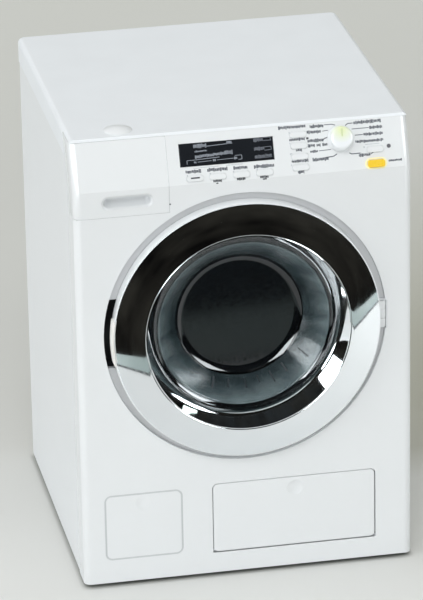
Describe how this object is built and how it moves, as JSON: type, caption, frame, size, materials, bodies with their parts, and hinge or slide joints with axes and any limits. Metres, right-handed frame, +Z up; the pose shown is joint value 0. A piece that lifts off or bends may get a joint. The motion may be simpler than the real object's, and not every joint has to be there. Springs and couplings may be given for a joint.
{
  "type": "toy washing machine",
  "caption": "White plastic toy front-loading washing machine with a chromed porthole door, detergent drawer, display, keys, programme knob and lower flap.",
  "frame": {"origin": "on the floor below the middle of the machine: centre of the bounding box in X and Y, underside of the feet in Z", "axes": "+Z up, -Y out of the front where the door is, +X to the right of someone facing the door"},
  "size_m": [0.185, 0.194, 0.262],
  "materials": {
    "white_plastic": "satin-gloss moulded, bright white",
    "inner_plastic": "matte moulded, pale grey",
    "chrome_plastic": "vacuum-metallised mirror finish",
    "smoked_clear": "polished clear, smoke tinted",
    "grey_trim": "matte light grey",
    "dark_plastic": "matte dark grey",
    "black_rubber": "matte",
    "grey_rubber": "matte",
    "steel": "bright zinc",
    "brass": "turned",
    "display_plastic": "gloss black window",
    "yellow_plastic": "satin-gloss moulded, warm yellow",
    "lens_red": "dark translucent lens",
    "board_green": "solder mask",
    "tub_plastic": "matte grey",
    "drum_plastic": "silver-grey moulded",
    "gear_plastic": "natural acetal"
  },
  "bodies": {
    "cabinet": {"base_tray": "inner_plastic", "rubber_feet": "black_rubber", "case_screws": "steel", "cabinet_shell": "white_plastic", "front_panel": "white_plastic", "top_cover": "white_plastic", "rear_cover": "white_plastic", "trim_ring": "grey_trim", "grip_cup": "dark_plastic", "hinge_block": "white_plastic", "hinge_pin": "steel", "door_seal": "grey_rubber", "drawer_housing": "inner_plastic", "inlet_pipe": "black_rubber", "display_lens": "display_plastic", "display_module": "display_plastic", "rotary_encoder": "dark_plastic", "keypad_mat": "grey_rubber", "control_board": "board_green", "indicator_lens": "lens_red", "tub_front": "tub_plastic", "tub_rear": "tub_plastic", "shaft_bush": "brass", "idler_axle": "steel", "drive_motor": "steel", "gearbox_plate": "inner_plastic", "flap_pin": "steel", "flap_box": "inner_plastic", "drain_pipe": "black_rubber", "battery_box": "dark_plastic", "speaker": "dark_plastic"},
    "door": {"door_frame": "white_plastic", "door_outer_ring": "chrome_plastic", "door_inner_bezel": "chrome_plastic", "door_bowl": "smoked_clear", "door_clamp_ring": "white_plastic", "door_screws": "steel"},
    "drawer": {"drawer_front": "white_plastic", "detergent_drawer": "white_plastic"},
    "flap": {"service_flap": "white_plastic"},
    "knob": {"program_knob": "white_plastic"},
    "drum_assembly": {"drum": "drum_plastic", "drum_paddles": "drum_plastic", "drum_shaft": "steel", "drum_gear": "gear_plastic"},
    "idler": {"idler_gear": "gear_plastic"},
    "pinion": {"motor_pinion": "brass"},
    "filler_plug": {"filler_cap": "white_plastic"},
    "battery_door": {"battery_cover": "white_plastic"},
    "drain_stopper": {"drain_plug": "black_rubber"},
    "row_key_1_body": {"row_key_1": "white_plastic"},
    "row_key_2_body": {"row_key_2": "white_plastic"},
    "row_key_3_body": {"row_key_3": "white_plastic"},
    "row_key_4_body": {"row_key_4": "white_plastic"},
    "column_key_1_body": {"column_key_1": "white_plastic"},
    "column_key_2_body": {"column_key_2": "white_plastic"},
    "column_key_3_body": {"column_key_3": "white_plastic"},
    "column_key_4_body": {"column_key_4": "white_plastic"},
    "white_key_body": {"white_key": "white_plastic"},
    "start_key_body": {"start_key": "yellow_plastic"}
  },
  "joints": [
    {"name": "door_swing", "type": "hinge", "parent": "cabinet", "child": "door", "pos_m": [0.0764, -0.0864, 0.1481], "axis": [0, 0, 1], "range_deg": [0, 92]},
    {"name": "drawer_slide", "type": "slide", "parent": "cabinet", "child": "drawer", "axis": [0, -1, 0], "range_m": [0, 0.055]},
    {"name": "flap_swing", "type": "hinge", "parent": "cabinet", "child": "flap", "pos_m": [0.02585, -0.0865, 0.0162], "axis": [1, 0, 0], "range_deg": [0, 90]},
    {"name": "knob_turn", "type": "hinge", "parent": "cabinet", "child": "knob", "pos_m": [0.0545, -0.08111, 0.2498], "axis": [0, -0.9212, 0.3891], "continuous": true},
    {"name": "drum_spin", "type": "hinge", "parent": "cabinet", "child": "drum_assembly", "pos_m": [0, 0, 0.1481], "axis": [0, 1, 0], "continuous": true},
    {"name": "idler_spin", "type": "hinge", "parent": "cabinet", "child": "idler", "pos_m": [0, 0.05, 0.113], "axis": [0, 1, 0], "continuous": true},
    {"name": "pinion_spin", "type": "hinge", "parent": "cabinet", "child": "pinion", "pos_m": [0.01916, 0.054, 0.09384], "axis": [0, 1, 0], "continuous": true},
    {"name": "filler_cap_lift", "type": "slide", "parent": "cabinet", "child": "filler_plug", "axis": [0, 0, 1], "range_m": [0, 0.015]},
    {"name": "battery_cover_pull", "type": "slide", "parent": "cabinet", "child": "battery_door", "axis": [0, 1, 0], "range_m": [0, 0.02]},
    {"name": "drain_plug_pull", "type": "slide", "parent": "cabinet", "child": "drain_stopper", "axis": [0, 1, 0], "range_m": [0, 0.02]},
    {"name": "row_key_1_press", "type": "slide", "parent": "cabinet", "child": "row_key_1_body", "axis": [0, 0.9212, -0.3891], "range_m": [0, 0.0008], "stiffness_N_per_m": 300},
    {"name": "row_key_2_press", "type": "slide", "parent": "cabinet", "child": "row_key_2_body", "axis": [0, 0.9212, -0.3891], "range_m": [0, 0.0008], "stiffness_N_per_m": 300},
    {"name": "row_key_3_press", "type": "slide", "parent": "cabinet", "child": "row_key_3_body", "axis": [0, 0.9212, -0.3891], "range_m": [0, 0.0008], "stiffness_N_per_m": 300},
    {"name": "row_key_4_press", "type": "slide", "parent": "cabinet", "child": "row_key_4_body", "axis": [0, 0.9212, -0.3891], "range_m": [0, 0.0008], "stiffness_N_per_m": 300},
    {"name": "column_key_1_press", "type": "slide", "parent": "cabinet", "child": "column_key_1_body", "axis": [0, 0.9212, -0.3891], "range_m": [0, 0.0008], "stiffness_N_per_m": 300},
    {"name": "column_key_2_press", "type": "slide", "parent": "cabinet", "child": "column_key_2_body", "axis": [0, 0.9212, -0.3891], "range_m": [0, 0.0008], "stiffness_N_per_m": 300},
    {"name": "column_key_3_press", "type": "slide", "parent": "cabinet", "child": "column_key_3_body", "axis": [0, 0.9212, -0.3891], "range_m": [0, 0.0008], "stiffness_N_per_m": 300},
    {"name": "column_key_4_press", "type": "slide", "parent": "cabinet", "child": "column_key_4_body", "axis": [0, 0.9212, -0.3891], "range_m": [0, 0.0008], "stiffness_N_per_m": 300},
    {"name": "white_key_press", "type": "slide", "parent": "cabinet", "child": "white_key_body", "axis": [0, 0.9212, -0.3891], "range_m": [0, 0.0008], "stiffness_N_per_m": 300},
    {"name": "start_key_press", "type": "slide", "parent": "cabinet", "child": "start_key_body", "axis": [0, 0.9212, -0.3891], "range_m": [0, 0.0008], "stiffness_N_per_m": 300}
  ],
  "couplings": [
    {"joint": "idler_spin", "follows": "drum_spin", "ratio": -4},
    {"joint": "pinion_spin", "follows": "drum_spin", "ratio": 14}
  ]
}
